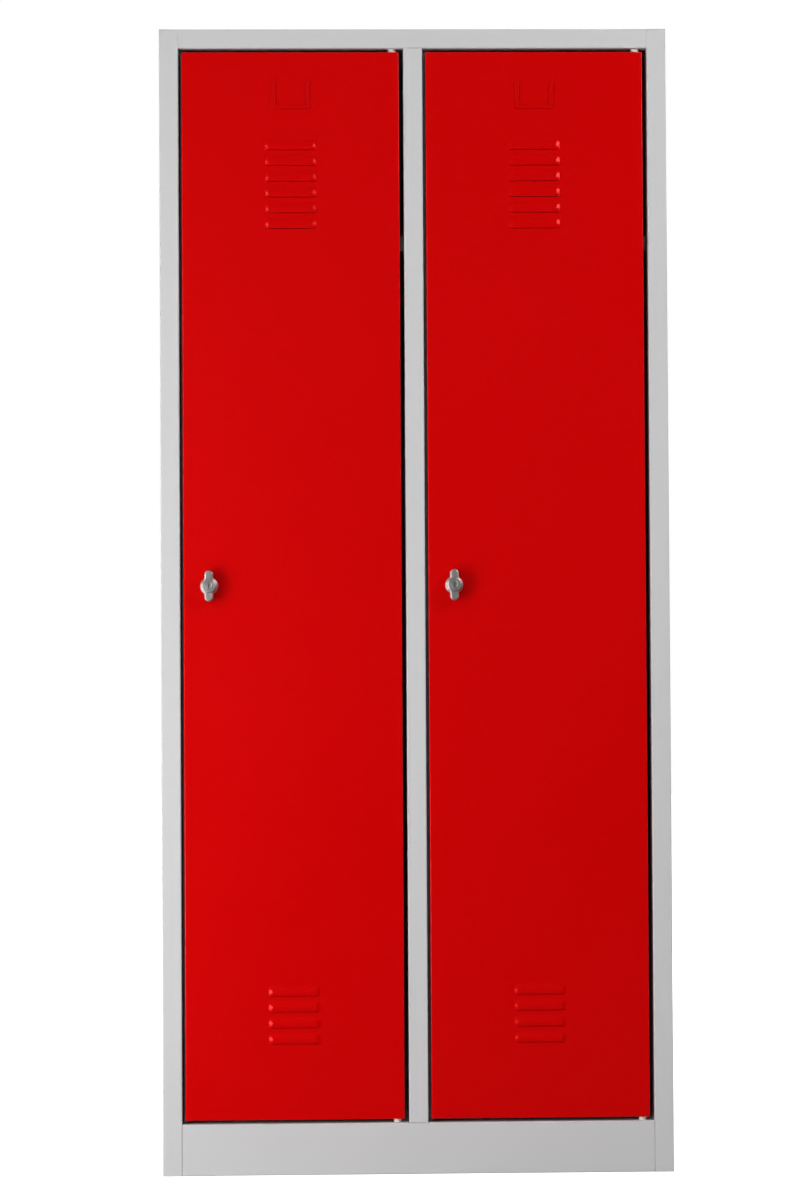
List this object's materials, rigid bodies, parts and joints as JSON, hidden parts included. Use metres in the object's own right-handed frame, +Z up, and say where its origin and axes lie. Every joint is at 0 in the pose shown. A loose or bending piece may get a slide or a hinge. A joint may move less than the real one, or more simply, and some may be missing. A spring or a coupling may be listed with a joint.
{
  "type": "clothing locker",
  "caption": "Free-standing sheet steel wardrobe locker with louvred hinged doors, turn-knob locks, hat shelves and clothes rails with sliding hooks.",
  "frame": {"origin": "middle of the footprint, on the floor", "axes": "+Z up, -Y towards the viewer in front of the doors, +X to the viewer's right"},
  "size_m": [0.8, 0.5212, 1.8],
  "materials": {
    "grey_powder_coat": "satin powder coat",
    "red_powder_coat": "satin powder coat",
    "satin_nickel": "satin plated",
    "zinc_plate": "zinc plated",
    "ivory_nylon": "moulded",
    "black_rubber": "moulded",
    "black_plastic": "moulded"
  },
  "bodies": {
    "cabinet": {"left_side_panel": "grey_powder_coat", "right_side_panel": "grey_powder_coat", "back_panel": "grey_powder_coat", "top_panel": "grey_powder_coat", "plinth": "grey_powder_coat", "floor_panel": "grey_powder_coat", "centre_stile": "grey_powder_coat", "centre_partition": "grey_powder_coat", "left_hat_shelf": "grey_powder_coat", "left_clothes_rail": "zinc_plate", "left_wall_rail_socket": "ivory_nylon", "left_partition_rail_socket": "ivory_nylon", "left_strike_strip": "grey_powder_coat", "left_upper_hinge_bush": "ivory_nylon", "left_upper_door_buffer": "black_rubber", "left_lower_hinge_bush": "ivory_nylon", "left_lower_door_buffer": "black_rubber", "right_hat_shelf": "grey_powder_coat", "right_clothes_rail": "zinc_plate", "right_wall_rail_socket": "ivory_nylon", "right_partition_rail_socket": "ivory_nylon", "right_strike_strip": "grey_powder_coat", "right_upper_hinge_bush": "ivory_nylon", "right_upper_door_buffer": "black_rubber", "right_lower_hinge_bush": "ivory_nylon", "right_lower_door_buffer": "black_rubber"},
    "left_door": {"left_door_panel": "red_powder_coat", "left_door_stiffener": "red_powder_coat", "left_label_holder": "red_powder_coat", "left_lock_housing": "satin_nickel", "left_lock_nut": "zinc_plate", "left_upper_pivot_pin": "zinc_plate", "left_upper_pivot_plate": "zinc_plate", "left_lower_pivot_pin": "zinc_plate", "left_lower_pivot_plate": "zinc_plate"},
    "left_knob": {"left_turn_knob": "satin_nickel", "left_latch_tongue": "zinc_plate", "left_tongue_screw": "zinc_plate"},
    "left_key": {"left_key_cylinder": "satin_nickel"},
    "left_hook_1": {"left_coat_hook_1": "black_plastic"},
    "left_hook_2": {"left_coat_hook_2": "black_plastic"},
    "left_hook_3": {"left_coat_hook_3": "black_plastic"},
    "right_door": {"right_door_panel": "red_powder_coat", "right_door_stiffener": "red_powder_coat", "right_label_holder": "red_powder_coat", "right_lock_housing": "satin_nickel", "right_lock_nut": "zinc_plate", "right_upper_pivot_pin": "zinc_plate", "right_upper_pivot_plate": "zinc_plate", "right_lower_pivot_pin": "zinc_plate", "right_lower_pivot_plate": "zinc_plate"},
    "right_knob": {"right_turn_knob": "satin_nickel", "right_latch_tongue": "zinc_plate", "right_tongue_screw": "zinc_plate"},
    "right_key": {"right_key_cylinder": "satin_nickel"},
    "right_hook_1": {"right_coat_hook_1": "black_plastic"},
    "right_hook_2": {"right_coat_hook_2": "black_plastic"},
    "right_hook_3": {"right_coat_hook_3": "black_plastic"}
  },
  "joints": [
    {"name": "left_door_swing", "type": "hinge", "parent": "cabinet", "child": "left_door", "pos_m": [-0.033, -0.2274, 0.922], "axis": [0, 0, 1], "range_deg": [0, 110]},
    {"name": "left_knob_turn", "type": "hinge", "parent": "left_door", "child": "left_knob", "pos_m": [-0.3245, -0.2364, 0.922], "axis": [0, 1, 0], "range_deg": [0, 90]},
    {"name": "left_key_turn", "type": "hinge", "parent": "left_knob", "child": "left_key", "pos_m": [-0.3245, -0.2364, 0.922], "axis": [0, 1, 0], "range_deg": [0, 90]},
    {"name": "left_hook_1_slide", "type": "slide", "parent": "cabinet", "child": "left_hook_1", "axis": [1, 0, 0], "range_m": [-0.04, 0.04]},
    {"name": "left_hook_2_slide", "type": "slide", "parent": "cabinet", "child": "left_hook_2", "axis": [1, 0, 0], "range_m": [-0.04, 0.04]},
    {"name": "left_hook_3_slide", "type": "slide", "parent": "cabinet", "child": "left_hook_3", "axis": [1, 0, 0], "range_m": [-0.04, 0.04]},
    {"name": "right_door_swing", "type": "hinge", "parent": "cabinet", "child": "right_door", "pos_m": [0.352, -0.2274, 0.922], "axis": [0, 0, 1], "range_deg": [0, 110]},
    {"name": "right_knob_turn", "type": "hinge", "parent": "right_door", "child": "right_knob", "pos_m": [0.0605, -0.2364, 0.922], "axis": [0, 1, 0], "range_deg": [0, 90]},
    {"name": "right_key_turn", "type": "hinge", "parent": "right_knob", "child": "right_key", "pos_m": [0.0605, -0.2364, 0.922], "axis": [0, 1, 0], "range_deg": [0, 90]},
    {"name": "right_hook_1_slide", "type": "slide", "parent": "cabinet", "child": "right_hook_1", "axis": [1, 0, 0], "range_m": [-0.04, 0.04]},
    {"name": "right_hook_2_slide", "type": "slide", "parent": "cabinet", "child": "right_hook_2", "axis": [1, 0, 0], "range_m": [-0.04, 0.04]},
    {"name": "right_hook_3_slide", "type": "slide", "parent": "cabinet", "child": "right_hook_3", "axis": [1, 0, 0], "range_m": [-0.04, 0.04]}
  ]
}
